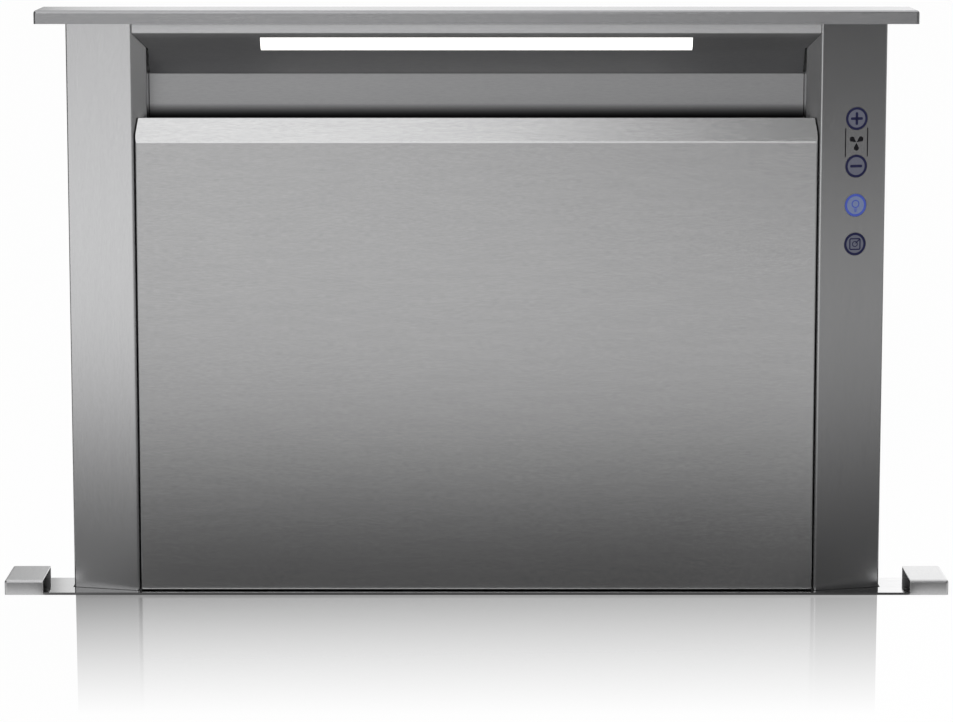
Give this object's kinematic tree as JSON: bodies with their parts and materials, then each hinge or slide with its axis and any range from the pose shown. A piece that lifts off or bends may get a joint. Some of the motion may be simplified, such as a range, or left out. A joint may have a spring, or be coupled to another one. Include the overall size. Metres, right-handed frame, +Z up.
{
  "type": "downdraft vent",
  "caption": "Pop-up downdraft extractor for a worktop: a stainless mast with lamp, suction panel and push buttons rises from a trim plate over a chassis with a rack lift and a blower",
  "frame": {"origin": "centre of the trim plate's underside, level with the worktop's surface, over the middle of the cut-out", "axes": "+X to the user's right, +Y to the back, +Z up; the mast is drawn raised"},
  "size_m": [0.806, 0.2177, 1.1723],
  "materials": {
    "brushed_stainless": "brushed stainless steel",
    "galvanised_sheet": "galvanised, dull",
    "bright_steel": "ground or zinc plated steel",
    "black_rubber": "matt",
    "black_plastic": "matt moulding",
    "white_plastic": "natural acetal",
    "black_enamel": "satin black",
    "frosted_acrylic": "frosted",
    "circuit_board": "green solder mask",
    "filter_aluminium": "mill finish",
    "cast_aluminium": "cast, satin",
    "bronze": "sintered",
    "button_cap": "metallised cap"
  },
  "bodies": {
    "chassis": {"trim_plate": "brushed_stainless", "left_end_cap": "brushed_stainless", "right_end_cap": "brushed_stainless", "slot_seal": "black_rubber", "chassis_front": "galvanised_sheet", "chassis_back": "galvanised_sheet", "chassis_sides": "galvanised_sheet", "chassis_floor": "galvanised_sheet", "pan_screws": "bright_steel", "guide_rails": "bright_steel", "gear_racks": "bright_steel", "counter_clamps": "galvanised_sheet", "clamp_screws": "bright_steel", "support_legs": "galvanised_sheet", "leg_bolts": "bright_steel", "blower_scroll": "galvanised_sheet", "blower_cover": "galvanised_sheet", "inlet_ring": "black_plastic", "blower_motor": "black_enamel", "outlet_adapter": "galvanised_sheet", "duct_collar": "galvanised_sheet", "control_box": "black_enamel", "connection_box": "galvanised_sheet", "cable_bushing": "black_plastic"},
    "fan": {"blower_wheel": "galvanised_sheet", "wheel_spindle": "bright_steel"},
    "damper": {"damper_flap": "galvanised_sheet", "damper_spindle": "bright_steel"},
    "mast": {"lid": "brushed_stainless", "lid_base": "galvanised_sheet", "left_pillar": "brushed_stainless", "right_pillar": "brushed_stainless", "mast_back": "brushed_stainless", "lower_apron": "brushed_stainless", "head_liner": "brushed_stainless", "lamp_lens": "frosted_acrylic", "lamp_housing": "white_plastic", "lamp_board": "circuit_board", "filter_frames": "filter_aluminium", "filter_meshes": "filter_aluminium", "filter_pulls": "bright_steel", "filter_shelf": "galvanised_sheet", "catch_plates": "galvanised_sheet", "control_board": "circuit_board", "hinge_blocks": "black_plastic", "hinge_pins": "bright_steel", "foot_frame": "galvanised_sheet", "lift_gearbox": "cast_aluminium", "lift_motor": "black_enamel", "guide_shoes": "white_plastic", "shaft_bushes": "bronze"},
    "panel": {"front_panel": "brushed_stainless", "panel_liner": "galvanised_sheet", "panel_magnets": "bright_steel"},
    "lift_shaft": {"cross_shaft": "bright_steel", "pinions": "bright_steel"},
    "plus_key": {"plus_button": "button_cap"},
    "minus_key": {"minus_button": "button_cap"},
    "light_key": {"light_button": "button_cap"},
    "timer_key": {"timer_button": "button_cap"}
  },
  "joints": [
    {"name": "lift", "type": "slide", "parent": "chassis", "child": "mast", "axis": [0, 0, 1], "range_m": [-0.4572, 0]},
    {"name": "lift_drive", "type": "hinge", "parent": "mast", "child": "lift_shaft", "pos_m": [0, -0.0005, -0.095], "axis": [1, 0, 0], "range_deg": [0, 1456]},
    {"name": "panel_hinge", "type": "hinge", "parent": "mast", "child": "panel", "pos_m": [0, -0.0169, 0.0062], "axis": [1, 0, 0], "range_deg": [0, 25]},
    {"name": "blower_spin", "type": "hinge", "parent": "chassis", "child": "fan", "pos_m": [0, -0.087, -0.425], "axis": [0, 1, 0], "continuous": true},
    {"name": "damper_hinge", "type": "hinge", "parent": "chassis", "child": "damper", "pos_m": [0.147, -0.085, -0.517], "axis": [0, -1, 0], "range_deg": [0, 80], "stiffness_Nm_per_rad": 0.15, "springref_deg": -28.65},
    {"name": "plus_press", "type": "slide", "parent": "mast", "child": "plus_key", "axis": [-0.2575, 0.9663, 0], "range_m": [0, 0.0008], "stiffness_N_per_m": 400, "springref_m": -0.002},
    {"name": "minus_press", "type": "slide", "parent": "mast", "child": "minus_key", "axis": [-0.2575, 0.9663, 0], "range_m": [0, 0.0008], "stiffness_N_per_m": 400, "springref_m": -0.002},
    {"name": "light_press", "type": "slide", "parent": "mast", "child": "light_key", "axis": [-0.2575, 0.9663, 0], "range_m": [0, 0.0008], "stiffness_N_per_m": 400, "springref_m": -0.002},
    {"name": "timer_press", "type": "slide", "parent": "mast", "child": "timer_key", "axis": [-0.2575, 0.9663, 0], "range_m": [0, 0.0008], "stiffness_N_per_m": 400, "springref_m": -0.002}
  ],
  "couplings": [
    {"joint": "lift_drive", "follows": "lift", "rad_per_m": -55.556}
  ]
}
